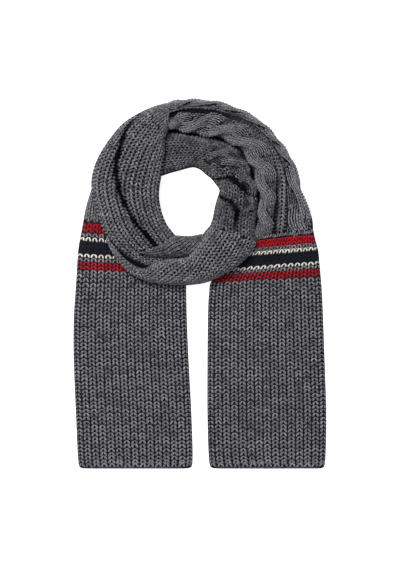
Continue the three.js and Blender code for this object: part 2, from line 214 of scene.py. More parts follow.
FRONT_TURN = [
    [-165, 82, -144, 62, 20, 9, 4.2, 0],
    [-154, 56, -135, 49, 25, 8, 4.4, 0],
    [-138, 34, -123, 38, 27, 7.5, 4.5, 0],
    [-117, 15, -108, 29, 29, 7.5, 4.7, 0],
    [-93, 5, -93, 28, 32, 7.5, 4.9, 0],
    [-70, 0, -74, 40, 33, 7.5, 5.2, 0],
    [-44, -2, -49, 44, 34, 7.5, 5.4, 0],
    [-18, -1, -24, 48, 35, 7.5, 5.9, 0],
    [9, 3, -12, 61, 36, 7.5, 6.8, 0],
    [35, 13, -5, 71, 36, 7.5, 7.9, 0],
    [61, 28, 2, 80, 35, 7.5, 8.8, 0],
    [83, 47, 9, 91, 34, 6, 9.5, 0],
    [100, 71, 18, 101, 33, 3, 10, 0],
]
INNER_TURN = [
    [100, 71, 18, 101, 36, 0, 10, 0],
    [97, 98, 23, 114, 34, 0, 10, 0.5],
    [101, 126, 26, 130, 32, 0, 10, 1],
    [102, 147, 29, 143, 31, 0, 10, 1.5],
    [100, 164, 33, 155, 31, 0, 10, 2],
    [94, 182, 35, 165, 30, 0, 10, 2.5],
    [88, 203, 29, 174, 29, 0, 10, 3],
    [74, 229, 20, 185, 28, 0, 10, 3.5],
    [56, 243, 11, 192, 27, 0, 10, 4],
    [33, 252, 2, 200, 26, 0, 10, 4.5],
    [10, 257, -10, 205, 25, 0, 10, 5],
    [-14, 261, -23, 203, 24, 0, 10, 5.5],
    [-33, 265, -37, 199, 23, 0, 10, 6],
    [-52, 267, -52, 195, 21, 0, 10, 6.5],
    [-75, 266, -70, 189, 18, 0, 10, 7],
]
SLIDE = ["section", "ribs_slid"]
FRONT_SLIDE = [
    [0, -10], [1, -9.8], [2, -9.5], [3, -9], [4, -8.3], [5, -7.3], [6, -6],
    [7, -4.6], [8, -3.2], [9, -2], [10, -1.05], [11, -0.4], [12, 0],
]
TONGUE_SLIDE = [[0, 0], [3, 0], [5, 1.5], [6, 3], [8, 6]]
UNDER_TURN = [
    [-75, 266, -70, 189, 18, 0, 8, 0],
    [-103, 266, -74, 177, 18, 0, 8, 0],
    [-135, 256, -77, 164, 18, 0, 8, 0],
    [-161, 233, -78, 150, 18, 0, 8, 0],
    [-178, 203, -77, 136, 18, 0, 8, 0],
    [-186, 175, -75, 124, 17, 0, 8, 0],
]

# %% Creases and cable lanes
CREASE = ["section", "across", "depth"]
# Each crease is a trough in the cloth, and also a band of painted shade on the stitches in it.
LADDER_CREASE = [
    [4, 0.36, 1], [6, 0.33, 2], [8, 0.31, 4], [10, 0.34, 7],
    [12, 0.39, 8], [14, 0.47, 8], [15, 0.5, 5],
]
GUTTER_CREASE = [
    [0, 0.6, 5], [1, 0.6, 7], [2, 0.58, 7], [3, 0.54, 5], [4, 0.46, 3], [5, 0.42, 1],
]
LEFT_CREASE = [
    [1.5, 0.1, 0], [3, 0.2, 6], [4, 0.27, 11], [5, 0.31, 13], [7, 0.42, 13],
    [8.5, 0.48, 8], [9.5, 0.52, 7], [11, 0.58, 11], [13, 0.6, 8],
]
UPPER_INNER_CREASE = [
    [3, 0.22, 4], [3.6, 0.34, 12], [5, 0.48, 14], [6, 0.58, 13], [6.7, 0.9, 8], [7.2, 1, 2],
]
LOWER_INNER_CREASE = [[1, 0.49, 4], [2, 0.49, 12], [3, 0.62, 14], [4, 0.93, 9], [4.4, 1, 2]]
# The edge folds lower the cloth a little along an edge, but mostly carry painted shade there, where one
# stretch meets another.
OUTER_EDGE_FOLD = [[3, 1, 4], [4, 1, 9], [8, 1, 10], [11, 1, 9], [15, 1, 8]]
INNER_EDGE_FOLD = [[2, 0, 4], [3, 0, 10], [6, 0, 10], [8, 0, 8], [14, 0, 7]]
LEFT_EDGE_FOLD = [[12, 0, 4], [13, 0, 10], [15, 0, 10], [16, 0, 8]]
TONGUE_EDGE_FOLD = [[0, 0, 9], [3, 0, 10], [5, 0, 6]]
FRONT_EDGE_FOLD = [[0, 1, 5], [1, 1, 10], [4, 1, 10], [6, 1, 6]]
LANE = ["section", "low", "high"]
EDGE_LANE = [
    [0, 0, 0.44], [2, 0, 0.42], [4, 0, 0.33], [6, 0, 0.29], [10, 0, 0.26], [12, 0, 0.3], [15, 0, 0.43],
]
MAIN_LANE = [
    [0, 0.63, 0.97], [2, 0.61, 0.97], [4, 0.49, 0.95], [6, 0.38, 0.94],
    [10, 0.34, 0.94], [12, 0.38, 0.94], [15, 0.52, 0.95],
]
INNER_LANE = [
    [2, 0.2, 0.4], [4, 0.1, 0.4], [5, 0.08, 0.44], [6, 0.1, 0.5], [8, 0.2, 0.62], [9, 0.3, 0.7],
]

# %% [markdown]
# ## From sections to a surface
#
# The surface of a stretch is a sheet of points: rings across it, each an arch with its points at
# even distances, so that equal shares of a ring hold equal widths of knitting. A crease is a soft
# trough along the cloth, and the cloth on both sides of it leans in over it, which is what makes a
# fold look deep. Sculpting would give such folds too, but then nothing would say where along the
# cloth a point lies. This sheet is worked out once for each stretch, and everything that lies on
# the cloth afterwards is placed by asking it where a given place and share is.

# %% Tables and curves


def named_columns(rows, names):
    """The columns of a table, by their names."""
    return {name: np.array([row[i] for row in rows], dtype=float) for i, name in enumerate(names)}


def along(values, place):
    """A smooth curve through the values, at places counted in sections, straight past both ends."""
    last = len(values) - 1
    place = np.asarray(place, dtype=float)
    inside = np.clip(place, 0, last)
    i = np.minimum(np.floor(inside).astype(int), last - 1)
    f = inside - i
    b = values[i]
    c = values[i + 1]
    a = np.where(i > 0, values[np.maximum(i - 1, 0)], 2 * b - c)
    d = np.where(i + 2 <= last, values[np.minimum(i + 2, last)], 2 * c - b)
    curve = b + 0.5 * f * (c - a + f * (2 * a - 5 * b + 4 * c - d + f * (3 * (b - c) + d - a)))
    before = (values[1] - values[0]) * np.minimum(place, 0)
    after = (values[last] - values[last - 1]) * np.maximum(place - last, 0)
    return curve + before + after


def smooth(f):
    t = np.clip(f, 0, 1)
    return t * t * (3 - 2 * t)


def run_along(points):
    """Distance along a row of points, from the first one."""
    steps = np.linalg.norm(np.diff(points, axis=0), axis=1)
    return np.concatenate([[0], np.cumsum(steps)])


# %% The trough of a crease
CREASE_INNER_SIDE = 3.8
CREASE_OUTER_SIDE = 5.5
CREASE_CLOSING = 0.92
CREASE_FULL = 11.0


def crease_at(crease, place, share, run):
    """Depth of a crease at a place, and millimetres from its middle to a share of the ring."""
    section = crease["section"]
    fade = smooth(1 - np.maximum(section[0] - place, place - section[-1]))
    offset = (share - np.interp(place, section, crease["across"])) * run
    return np.interp(place, section, crease["depth"]) * fade, offset


def crease_effect(creases, place, shares, run):
    """Depth of the creases across one ring, and how far they pull the cloth sideways."""
    depth = np.zeros(len(shares))
    pull = np.zeros(len(shares))
    for crease in creases:
        deepest, offset = crease_at(crease, place, shares, run)
        side = np.where(offset < 0, CREASE_OUTER_SIDE, CREASE_INNER_SIDE)
        bell = np.exp(-((offset / side) ** 2))
        depth += deepest * bell
        pull -= offset * bell * CREASE_CLOSING * min(1.0, deepest / CREASE_FULL)
    return depth, pull


# %% The sheet of points of one stretch
COLUMNS = 161
RING_STEP = 2.4
FEWEST_RINGS = 8
ARCH_STEPS = 240
OUTLINE_STEPS = 60
NEARLY_ONE = 0.999999
NEARLY_HALF = 0.49
TINY = 1e-9


def arch_shape(roundness):
    """Half widths and heights round an arch of size 1, rounder or more like a box."""
    angle = np.pi * np.arange(ARCH_STEPS + 1) / ARCH_STEPS
    flat = -np.sign(np.cos(angle)) * np.abs(np.cos(angle)) ** (2 / roundness)
    rise = np.abs(np.sin(angle)) ** (2 / roundness)
    rise[[0, -1]] = 0
    return flat, rise


class Stretch:
    """One stretch of the scarf as a sheet of points that the yarn is laid on."""

    def __init__(self, node, rows, roundness=2.5, creases=(), scallop=0.0, shade=0.0, slide=((0, 0),)):
        self.node = node
        # A negative shade is painted shade: it darkens the yarn of the whole stretch.
        self.shade = shade
        self.slide = named_columns(slide, SLIDE)
        self.covers = []
        self.last = len(rows) - 1
        self.creases = [named_columns(crease, CREASE) for crease in creases]
        self.values = named_columns(rows, SECTION)
        middle_x = (self.values["outer_x"] + self.values["inner_x"]) / 2
        middle_y = (self.values["outer_y"] + self.values["inner_y"]) / 2
        self.length = float(run_along(np.stack([middle_x, middle_y], axis=1))[-1])
        self.places = np.linspace(0, self.last, max(FEWEST_RINGS, int(self.length / RING_STEP)))
        self.shares = np.linspace(0, 1, COLUMNS)
        self.draw(roundness, scallop)

    def at(self, name, place):
        return along(self.values[name], place)

    def slid(self, place):
        """How many wales have slid across the stretch at a place, towards the inner edge."""
        return np.interp(place, self.slide["section"], self.slide["ribs_slid"])

    def edges(self, places):
        outer = np.stack([self.at("outer_x", places), self.at("outer_y", places)], axis=1)
        inner = np.stack([self.at("inner_x", places), self.at("inner_y", places)], axis=1)
        return outer, inner

    def draw(self, roundness, scallop):
        """Works out the sheet of points ring by ring, and the way the cloth faces at each point."""
        outer, inner = self.edges(self.places)
        middle = (outer + inner) / 2
        self.chord = np.linalg.norm(inner - outer, axis=1)
        across = (inner - outer) / self.chord[:, None]
        crown = self.at("crown", self.places)
        base = np.maximum(0, self.at("base", self.places))
        bulge = scallop * np.abs(np.sin(np.pi * self.at("turns", self.places)))
        flat, rise = arch_shape(roundness)
        self.points = np.zeros((len(self.places), COLUMNS, 3))
        self.arch_length = np.zeros(len(self.places))
        for r, place in enumerate(self.places):
            x = flat * self.chord[r] / 2
            z = rise * crown[r]
            run = run_along(np.stack([x, z], axis=1))
            self.arch_length[r] = run[-1]
            sideways = np.interp(self.shares * run[-1], run, x)
            height = np.interp(self.shares * run[-1], run, z)
            depth, pull = crease_effect(self.creases, place, self.shares, run[-1])
            lift = height / crown[r]
            sideways = sideways + pull * lift
            sideways = sideways - bulge[r] * np.maximum(0, -sideways / self.chord[r] * 2) ** 3
            self.points[r, :, :2] = middle[r] + across[r] * sideways[:, None]
            self.points[r, :, 2] = base[r] + np.maximum(0, height - depth * lift)
        normals = np.cross(np.gradient(self.points, axis=1), np.gradient(self.points, axis=0))
        normals /= np.linalg.norm(normals, axis=2)[:, :, None] + TINY
        self.mirrored = normals[:, COLUMNS // 2, 2].mean() < 0
        self.normals = -normals if self.mirrored else normals

    def spot(self, place, share):
        """Point and outward direction at places and shares, and straight on past both ends."""
        rings = len(self.places) - 1
        u = place / self.last * rings
        v = np.clip(share, 0, 1) * (COLUMNS - 1) * NEARLY_ONE
        i = np.clip(np.floor(u), 0, rings - 1).astype(int)
        j = v.astype(int)
        fu = (u - i)[..., None]
        fv = (v - j)[..., None]

        def blend(grid):
            top = grid[i, j] * (1 - fv) + grid[i, j + 1] * fv
            low = grid[i + 1, j] * (1 - fv) + grid[i + 1, j + 1] * fv
            return top * (1 - fu) + low * fu

        return blend(self.points), blend(self.normals)

    def arch_at(self, place):
        return np.interp(place, self.places, self.arch_length)

    def outline(self, inset):
        """The stretch's outline seen from above, drawn in by an inset."""
        outer, inner = self.edges(np.linspace(0, self.last, OUTLINE_STEPS))
        width = np.linalg.norm(inner - outer, axis=1)[:, None]
        across = (inner - outer) / width
        draw_in = np.minimum(inset, width * NEARLY_HALF)
        return np.concatenate([outer + across * draw_in, (inner - across * draw_in)[::-1]])


# %% Inside an outline


def inside_outline(x, y, outline):
    """Whether points seen from above are inside a closed outline."""
    hit = np.zeros(x.shape, dtype=bool)
    for (x0, y0), (x1, y1) in zip(outline, np.roll(outline, -1, axis=0)):
        crosses = (y0 > y) != (y1 > y)
        with np.errstate(divide="ignore", invalid="ignore"):
            edge_x = (x1 - x0) * (y - y0) / (y1 - y0) + x0
        hit ^= crosses & (x < edge_x)
    return hit


# %% The eight stretches
left_tail = Stretch("left_tail", LEFT_TAIL, roundness=5)
right_tail = Stretch("right_tail", RIGHT_TAIL, roundness=5)
outer_creases = [LADDER_CREASE, GUTTER_CREASE, OUTER_EDGE_FOLD]
outer_turn = Stretch("outer_turn", OUTER_TURN, creases=outer_creases, scallop=3.5)
under_turn = Stretch("under_turn", UNDER_TURN)
inner_creases = [UPPER_INNER_CREASE, LOWER_INNER_CREASE, INNER_EDGE_FOLD]
# The shade given to the inner turn, tongue, left turn and front is painted shade, which darkens their yarn
# as a whole.
inner_turn = Stretch("inner_turn", INNER_TURN, creases=inner_creases, shade=-0.3)
left_turn = Stretch("left_turn", LEFT_TURN, creases=[LEFT_CREASE, LEFT_EDGE_FOLD], shade=-0.13)
tongue = Stretch("tongue", TONGUE, creases=[TONGUE_EDGE_FOLD], shade=-0.28, slide=TONGUE_SLIDE)
front_turn = Stretch("front_turn", FRONT_TURN, creases=[FRONT_EDGE_FOLD], shade=-0.12, slide=FRONT_SLIDE)
stretches = [left_tail, right_tail, outer_turn, under_turn, inner_turn, left_turn, tongue, front_turn]
for stretch in stretches:
    mean_arch = round(float(stretch.arch_length.mean()))
    print(stretch.node, "length", round(stretch.length), "mm, arch", mean_arch)

# %% [markdown]
# ## Yarn materials
#
# The yarn is spun from pale and dark fibres, plied in loose strands. Its look comes from three
# things at three sizes: a slow change of tone along the strand, the slanting ply, and the fine
# fibres. The ply is painted lighter on its crests and darker in its grooves, as painted shading of
# the twist. They are one node group, because the grey and the three stripe colours share them. The
# group reads a UV map that runs along and around each strand, so the ply turns with the yarn. A
# picture of yarn wrapped round the stitches would blur close up, and nodes don't. Deep in a fold
# no light comes back, so the painted shade that each stitch carries also fades its colour to black.

# %% Nodes by short calls
MIX_LOW, MIX_HIGH, MIX_RESULT = 6, 7, 2


def feed(tree, socket, value):
    """Links a socket to another node's output, or gives it a fixed value."""
    if isinstance(value, bpy.types.NodeSocket):
        tree.links.new(value, socket)
    else:
        socket.default_value = value


def feed_all(tree, node, values):
    """Feeds several sockets of a node, by their names."""
    for name, value in values.items():
        feed(tree, node.inputs[name], value)


def math_node(tree, operation, a, b=None, clamp=False):
    node = tree.nodes.new("ShaderNodeMath")
    node.operation = operation
    node.use_clamp = clamp
    feed(tree, node.inputs[0], a)
    if b is not None:
        feed(tree, node.inputs[1], b)
    return node.outputs[0]


def mixed(tree, amount, low, high):
    """A colour between two others."""
    mix = tree.nodes.new("ShaderNodeMix")
    mix.data_type = "RGBA"
    feed(tree, mix.inputs["Factor"], amount)
    feed(tree, mix.inputs[MIX_LOW], low)
    feed(tree, mix.inputs[MIX_HIGH], high)
    return mix.outputs[MIX_RESULT]


def noise_about_zero(tree, place, scale, detail, strength):
    """Noise that goes as far below zero as above it."""
    noise = tree.nodes.new("ShaderNodeTexNoise")
    feed_all(tree, noise, {"Scale": scale, "Detail": detail, "Vector": place})
    centred = math_node(tree, "SUBTRACT", noise.outputs[0], 0.5)
    return math_node(tree, "MULTIPLY", centred, strength)


# %% The spun yarn group
GROUP_SOCKETS = [
    ("Strand", "INPUT", "Vector"),
    ("Object", "INPUT", "Vector"),
    ("Stitch Shade", "INPUT", "Float"),
    ("Fleck", "INPUT", "Float"),
    ("Dark", "INPUT", "Color"),
    ("Light", "INPUT", "Color"),
    ("Color", "OUTPUT", "Color"),
    ("Height", "OUTPUT", "Float"),
]
PLIES = 2
PLY_LEAN = 0.3
# The ply is painted lighter on its crests and darker in its grooves: painted shading of the twist.
PLY_PAINTED_SHADING = 0.16
PLY_HEIGHT = 0.5
FIBRES_ROUND = 9.0
FIBRES_ALONG = 0.8
# Each noise has a scale, a detail and a strength.
NOISES = {"fibre": (1.6, 4.0, 1.2), "fleck": (430.0, 2.0, 3.6), "slow": (38.0, 1.0, 0.45)}
# Painted shadow: the colour fades to the no-light colour as a stitch's shade falls from -0.3 to -1.3.
LIGHT_REACH = 1.3
NO_LIGHT = (0.001, 0.001, 0.0015, 1)


def build_yarn_group():
    group = bpy.data.node_groups.new("spun_yarn", "ShaderNodeTree")
    for name, side, kind in GROUP_SOCKETS:
        group.interface.new_socket(name=name, in_out=side, socket_type="NodeSocket" + kind)
    entry = group.nodes.new("NodeGroupInput")
    leave = group.nodes.new("NodeGroupOutput")
    split = group.nodes.new("ShaderNodeSeparateXYZ")
    feed(group, split.inputs[0], entry.outputs["Strand"])
    run = split.outputs[0]
    turn = math_node(group, "ADD", math_node(group, "MULTIPLY", run, PLY_LEAN), split.outputs[1])
    ply = math_node(group, "SINE", math_node(group, "MULTIPLY", turn, PLIES * 2 * math.pi))
    fibre_place = group.nodes.new("ShaderNodeCombineXYZ")
    feed(group, fibre_place.inputs[0], math_node(group, "MULTIPLY", turn, FIBRES_ROUND))
    feed(group, fibre_place.inputs[1], math_node(group, "MULTIPLY", run, FIBRES_ALONG))
    fibre = noise_about_zero(group, fibre_place.outputs[0], *NOISES["fibre"])
    fleck = noise_about_zero(group, entry.outputs["Object"], *NOISES["fleck"])
    fleck = math_node(group, "MULTIPLY", fleck, entry.outputs["Fleck"])
    slow = noise_about_zero(group, entry.outputs["Object"], *NOISES["slow"])
    amount = math_node(group, "MULTIPLY", ply, PLY_PAINTED_SHADING)
    # The stitch shade adds each stitch's random tone and its painted light and shade.
    for part in (fibre, fleck, slow, entry.outputs["Stitch Shade"]):
        amount = math_node(group, "ADD", amount, part)
    amount = math_node(group, "ADD", amount, 0.5, clamp=True)
    yarn_colour = mixed(group, amount, entry.outputs["Dark"], entry.outputs["Light"])
    in_light = math_node(group, "ADD", entry.outputs["Stitch Shade"], LIGHT_REACH, clamp=True)
    feed(group, leave.inputs["Color"], mixed(group, in_light, NO_LIGHT, yarn_colour))
    ply_height = math_node(group, "MULTIPLY", ply, PLY_HEIGHT)
    feed(group, leave.inputs["Height"], math_node(group, "ADD", ply_height, fibre))
    print("spun yarn group", len(group.nodes), "nodes")
    return group


yarn_group = build_yarn_group()

# %% [markdown]
# Wool also has a nap of loose fibres that catches light at a slant. Hairs would be far too many
# here, so the nap is the sheen of the Principled shader. It sits in the material itself, and the
# painted shade of the stitch fades it in the folds, as it fades the colour.

# %% The four yarns
YARN_BUMP = {"Strength": 0.6, "Distance": 0.0006}
YARN_SURFACE = {"Roughness": 0.92, "Specular IOR Level": 0.1, "Sheen Roughness": 0.55}


def yarn_material(name, dark, light, fleck, nap):
    """A soft matte yarn between two shades of one colour."""
    material = bpy.data.materials.new(name)
    material.use_nodes = True
    tree = material.node_tree
    shader = tree.nodes["Principled BSDF"]
    strand_map = tree.nodes.new("ShaderNodeUVMap")
    strand_map.uv_map = "strand"
    place = tree.nodes.new("ShaderNodeTexCoord").outputs["Object"]
    stitch = tree.nodes.new("ShaderNodeAttribute")
    stitch.attribute_name = "shade"
    shade = stitch.outputs["Fac"]
    spun = tree.nodes.new("ShaderNodeGroup")
    spun.node_tree = yarn_group
    feed_all(tree, spun, {"Strand": strand_map.outputs["UV"], "Object": place, "Stitch Shade": shade})
    feed_all(tree, spun, {"Fleck": fleck, "Dark": (*dark, 1), "Light": (*light, 1)})
    bump = tree.nodes.new("ShaderNodeBump")
    feed_all(tree, bump, {**YARN_BUMP, "Height": spun.outputs["Height"]})
    # The painted shade of the stitch fades the sheen as well.
    in_light = math_node(tree, "ADD", shade, LIGHT_REACH, clamp=True)
    sheen = math_node(tree, "MULTIPLY", in_light, nap)
    feed_all(tree, shader, {**YARN_SURFACE, "Base Color": spun.outputs["Color"]})
    feed_all(tree, shader, {"Normal": bump.outputs["Normal"], "Sheen Weight": sheen})
    return material


grey_yarn = yarn_material("grey_yarn", (0.030, 0.030, 0.037), (0.340, 0.338, 0.372), 0.7, 0.2)
navy_yarn = yarn_material("navy_yarn", (0.002, 0.003, 0.008), (0.012, 0.017, 0.038), 0.2, 0.03)
red_yarn = yarn_material("red_yarn", (0.26, 0.002, 0.008), (0.66, 0.010, 0.026), 0.2, 0.05)
ivory_yarn = yarn_material("ivory_yarn", (0.62, 0.57, 0.47), (0.92, 0.89, 0.80), 0.2, 0.2)
YARN = {"grey": grey_yarn, "navy": navy_yarn, "red": red_yarn, "ivory": ivory_yarn}
print("yarns", ", ".join(YARN))

# %% [markdown]
# The cloth under the stitches is the same yarn seen deep between the loops, where little light
# comes back. Its colour is painted shadow: the stitches hide nearly all of it, so a plain dark grey
# with a rough bump stands in for the shade between them.

# %% Cloth material
CLOTH_NOISE = {"Scale": 420.0, "Detail": 3.0}
# Painted shadow: the cloth is the grey yarn painted nearly black, for the shade deep between the stitches.
CLOTH_SHADOW_COLOURS = [(0.002, 0.002, 0.003, 1), (0.020, 0.020, 0.024, 1)]
CLOTH_BUMP = {"Strength": 0.8, "Distance": 0.001}
CLOTH_SURFACE = {"Roughness": 0.95, "Specular IOR Level": 0.05}


def cloth_material():
    material = bpy.data.materials.new("painted_shadow_cloth")
    material.use_nodes = True
    tree = material.node_tree
    shader = tree.nodes["Principled BSDF"]
    place = tree.nodes.new("ShaderNodeTexCoord").outputs["Object"]
    noise = tree.nodes.new("ShaderNodeTexNoise")
    feed_all(tree, noise, {**CLOTH_NOISE, "Vector": place})
    ramp = tree.nodes.new("ShaderNodeValToRGB")
    for stop, shade in zip(ramp.color_ramp.elements, CLOTH_SHADOW_COLOURS):
        stop.color = shade
    feed_all(tree, ramp, {"Fac": noise.outputs[0]})
    bump = tree.nodes.new("ShaderNodeBump")
    feed_all(tree, bump, {**CLOTH_BUMP, "Height": noise.outputs[0]})
    feed_all(tree, shader, {**CLOTH_SURFACE, "Base Color": ramp.outputs["Color"]})
    feed_all(tree, shader, {"Normal": bump.outputs["Normal"]})
    return material


painted_shadow_cloth = cloth_material()
print("cloth material", painted_shadow_cloth.name)

# %% [markdown]
# ## The cloth itself
#
# Each gathered stretch is the whole panel rolled into a tube and laid down: an arch over a flat
# underside. A tail is one flat layer. Cloth simulation could settle a tube by itself, but it
# wouldn't keep the outline and folds that the stitches need. So both start as a grid a third as
# fine as the sheet of points, laid just under those points and closed at both ends. A tube then
# gets its wall from Solidify.

# %% Rings of the cloth
CLOTH_DEPTH = 4.6
DEPTH_SHARE = 0.5
SKIRT = 1.0
TOP_ROOM = 0.5
UNDERSIDE_ROOM = 0.15
CLOTH_STEP = 3
UNDERSIDE_SHARES = (0.03, 0.25, 0.5, 0.75, 0.97)


def cloth_rings(stretch):
    """Rings of points just under the stitches, each closed by a flat underside."""
    rows = np.arange(0, len(stretch.places), CLOTH_STEP)
    rows[-1] = len(stretch.places) - 1
    columns = np.arange(0, COLUMNS, CLOTH_STEP)
    columns[-1] = COLUMNS - 1
    points = stretch.points[np.ix_(rows, columns)]
    normals = stretch.normals[np.ix_(rows, columns)]
    rest = points[:, :1, 2:3]
    depth = np.minimum(CLOTH_DEPTH, (points[:, :, 2:3] - rest) * DEPTH_SHARE - SKIRT)
    top = points - normals * depth
    top[:, :, 2:3] = np.maximum(top[:, :, 2:3], rest + TOP_ROOM)
    first = top[:, :1]
    end = top[:, -1:]
    underside = [end * (1 - f) + first * f for f in UNDERSIDE_SHARES]
    for row in underside:
        row[:, :, 2:3] = rest + UNDERSIDE_ROOM
    rings = np.concatenate([top] + underside + [first], axis=1)
    middles = rings.mean(axis=1, keepdims=True)
    closed_start = np.repeat(middles[:1], rings.shape[1], axis=1)
    closed_end = np.repeat(middles[-1:], rings.shape[1], axis=1)
    return np.concatenate([closed_start, rings, closed_end], axis=0)


# %% Make the cloth of one stretch
WALL = 1.6
MERGE_WITHIN = 0.02


def enclosed_volume(mesh):
    """Volume inside a closed mesh, below zero if its faces look inwards."""
    mesh.calc_loop_triangles()
    points = np.zeros(len(mesh.vertices) * 3)
    mesh.vertices.foreach_get("co", points)
    corners = np.zeros(len(mesh.loop_triangles) * 3, dtype=np.int32)
    mesh.loop_triangles.foreach_get("vertices", corners)
    a, b, c = points.reshape(-1, 3)[corners.reshape(-1, 3)].transpose(1, 0, 2)
    return float((np.cross(a, b) * c).sum() / 6)


def make_cloth(stretch, walled):
    """The shell of one stretch, solid for a flat tail and with a wall for a rolled turn."""
    rings = cloth_rings(stretch)
    count, around = rings.shape[:2]
    bpy.ops.object.select_all(action="DESELECT")
    bpy.ops.mesh.primitive_grid_add(x_subdivisions=around - 1, y_subdivisions=count - 1, size=1)
    cloth = bpy.context.object
    cloth.name = stretch.node + "_cloth"
    cloth.data.vertices.foreach_set("co", (rings * MM).reshape(-1))
    bpy.ops.object.mode_set(mode="EDIT")
    bpy.ops.mesh.select_all(action="SELECT")
    bpy.ops.mesh.remove_doubles(threshold=MERGE_WITHIN * MM)
    bpy.ops.mesh.normals_make_consistent(inside=False)
    bpy.ops.object.mode_set(mode="OBJECT")
    if enclosed_volume(cloth.data) < 0:
        cloth.data.flip_normals()
    print(cloth.name, "encloses", round(enclosed_volume(cloth.data) * 1e6), "cm3")
    if walled:
        wall = cloth.modifiers.new("wall", "SOLIDIFY")
        wall.thickness = WALL * MM
        wall.offset = -1
        bpy.ops.object.modifier_apply(modifier="wall")
    bpy.ops.object.shade_smooth()
    cloth.data.materials.append(painted_shadow_cloth)
    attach(cloth, "root")
    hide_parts(stretch.node)
    return cloth


# %% [markdown]
# ## One stitch
#
# Seen from the front, a knit stitch is two fat legs of yarn that start close together, swell
# outwards and tuck in behind the next stitch. A bevelled curve could follow such a path, but a
# circle that is extruded ring by ring keeps the corners few and in known places. So one leg is
# drawn out of a small circle, and the other is its mirror image. The mesh is small, because
# thousands of copies follow.

# %% Draw a strand out of a circle
AXIS_ALONG = (math.pi / 2, 0, 0)
AXIS_ACROSS = (0, math.pi / 2, 0)


def strand(name, stations, sides, axis, mirrored):
    """A tube through stations of (across, along, height, radius), in millimetres."""
    bpy.ops.object.select_all(action="DESELECT")
    x, y, z, radius = stations[0]
    bpy.ops.mesh.primitive_circle_add(
        vertices=sides, radius=radius, fill_type="NGON", location=(x, y, z), rotation=axis
    )
    piece = bpy.context.object
    piece.name = name
    bpy.ops.object.transform_apply(location=True, rotation=True, scale=True)
    bpy.ops.object.mode_set(mode="EDIT")
    bpy.ops.mesh.select_all(action="SELECT")
    for (x0, y0, z0, r0), (x1, y1, z1, r1) in zip(stations, stations[1:]):
        bpy.ops.mesh.extrude_region_move(TRANSFORM_OT_translate={"value": (x1 - x0, y1 - y0, z1 - z0)})
        bpy.ops.transform.resize(value=(r1 / r0, r1 / r0, r1 / r0), center_override=(x1, y1, z1))
    if mirrored:
        bpy.ops.mesh.select_all(action="SELECT")
        bpy.ops.mesh.duplicate()
        bpy.ops.transform.resize(value=(-1, 1, 1), center_override=(0, 0, 0))
    bpy.ops.mesh.select_all(action="SELECT")
    bpy.ops.mesh.normals_make_consistent(inside=False)
    bpy.ops.object.mode_set(mode="OBJECT")
    return piece


# %% Read a drawn strand


def read_pattern(piece, stations, axis, mirrored):
    """Points, faces and strand map of a small mesh, and the same turned over, for mirrored cloth."""
    mesh = piece.data
    points = np.zeros(len(mesh.vertices) * 3)
    mesh.vertices.foreach_get("co", points)
    points = points.reshape(-1, 3)
    centres = np.array(stations, dtype=float)
    run = run_along(centres[:, :3])
    way = 1 if axis == AXIS_ALONG else 0
    side = 1 - way
    halves = np.where(points[:, 0] < 0, -1.0, 1.0) if mirrored else np.ones(len(points))
    nearest = np.argmin(np.abs(points[:, way][:, None] - centres[:, way][None, :]), axis=1)
    off_side = points[:, side] * (halves if side == 0 else 1) - centres[nearest, side]
    off_up = points[:, 2] - centres[nearest, 2]
    angle = (np.arctan2(off_side, -off_up) / (2 * math.pi)) % 1.0
    faces = [list(face.vertices) for face in mesh.polygons]
    strand_map = []
    for face in faces:
        turns = angle[face]
        if np.ptp(turns) > 0.5:
            turns = np.where(turns < 0.5, turns + 1, turns)
        strand_map += [(run[nearest[v]], t) for v, t in zip(face, turns)]
    bpy.data.objects.remove(piece, do_unlink=True)
    sizes = np.array([len(face) for face in faces])
    corners = np.concatenate(faces)
    ends = np.cumsum(sizes)
    backwards = np.concatenate([np.arange(end, end - size, -1) - 1 for end, size in zip(ends, sizes)])
    shape = {"points": points, "sizes": sizes, "corners": corners, "strand": np.array(strand_map)}
    turned = {**shape, "corners": corners[backwards], "strand": shape["strand"][backwards]}
    return {**shape, "turned": turned}


def pattern(name, stations, sides, axis=AXIS_ALONG, mirrored=True):
    made = read_pattern(strand(name, stations, sides, axis, mirrored), stations, axis, mirrored)
    print(name, len(made["points"]), "points,", len(made["sizes"]), "faces")
    return made


# %% Rib stitch, fine stitch and bars
RIB_PITCH = 13.6
ROW_PITCH = 6.85
RIB_LEG = [
    (0.7, 4.1, -0.7, 1.2),
    (1.8, 2.8, 1.1, 1.85),
    (3.3, 1.1, 1.8, 2.15),
    (4.25, -1.2, 1.2, 2.1),
    (4.0, -3.5, -1.0, 1.4),
]
FINE_PITCH = 5.6
FINE_ROW = 5.6
FINE_LEG = [
    (0.3, 3.5, -0.9, 0.7),
    (0.75, 2.0, 0.6, 1.0),
    (1.15, 0.2, 1.1, 1.1),
    (1.2, -1.6, 0.4, 1.0),
    (0.9, -3.3, -1.1, 0.7),
]
ROPE_PITCH = 7.4
ROPE_LEG = [
    (1.3, 3.4, -1.2, 0.6),
    (1.6, 1.9, 0.5, 0.95),
    (1.9, 0.2, 1.2, 1.15),
    (2.1, -1.5, 0.6, 1.05),
    (2.1, -3.2, -1.2, 0.6),
]
BAR = [(-4.2, 0, -0.6, 1.0), (-1.6, 0, 0.0, 1.35), (1.6, 0, 0.0, 1.35), (4.2, 0, -0.6, 1.0)]
rib_stitch = pattern("rib_stitch", RIB_LEG, sides=6)
fine_stitch = pattern("fine_stitch", FINE_LEG, sides=5)
rope_stitch = pattern("rope_stitch", ROPE_LEG, sides=5)
gap_bar = pattern("gap_bar", BAR, sides=4, axis=AXIS_ACROSS, mirrored=False)

